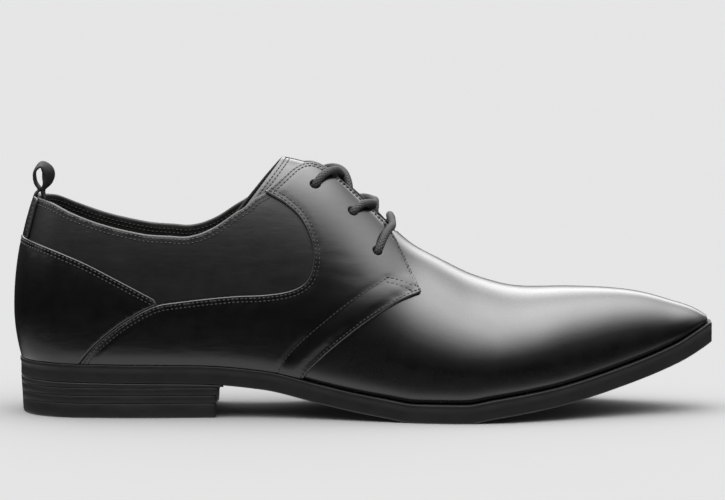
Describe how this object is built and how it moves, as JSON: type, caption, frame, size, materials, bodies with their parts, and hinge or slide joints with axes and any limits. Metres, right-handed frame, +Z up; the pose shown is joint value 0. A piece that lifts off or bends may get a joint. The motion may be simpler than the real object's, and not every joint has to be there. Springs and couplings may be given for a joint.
{
  "type": "lace-up dress shoe",
  "caption": "Black leather derby dress shoe for a right foot, with open-laced quarters over a plain pointed vamp, a heel pull loop, a slim sole and a low stacked heel.",
  "frame": {"origin": "on the floor, at the centre of the heel's flat base", "axes": "+X along the shoe to the toe, +Y to the inner (medial) side of this right shoe, +Z up"},
  "size_m": [0.3048, 0.1026, 0.1114],
  "materials": {
    "calf": "polished smooth calf, semi-gloss",
    "lining": "matt smooth lining leather",
    "sole": "satin moulded rubber",
    "lace": "waxed round cotton lace"
  },
  "bodies": {
    "root": {"outsole": "sole", "heel": "sole", "insole": "lining", "upper": "calf", "quarter_lateral": "calf", "quarter_medial": "calf", "counter": "calf", "tongue": "calf", "pull_loop": "calf", "lace_crossing_top": "lace", "lace_crossing_low": "lace", "lace_bar": "lace"}
  },
  "joints": []
}
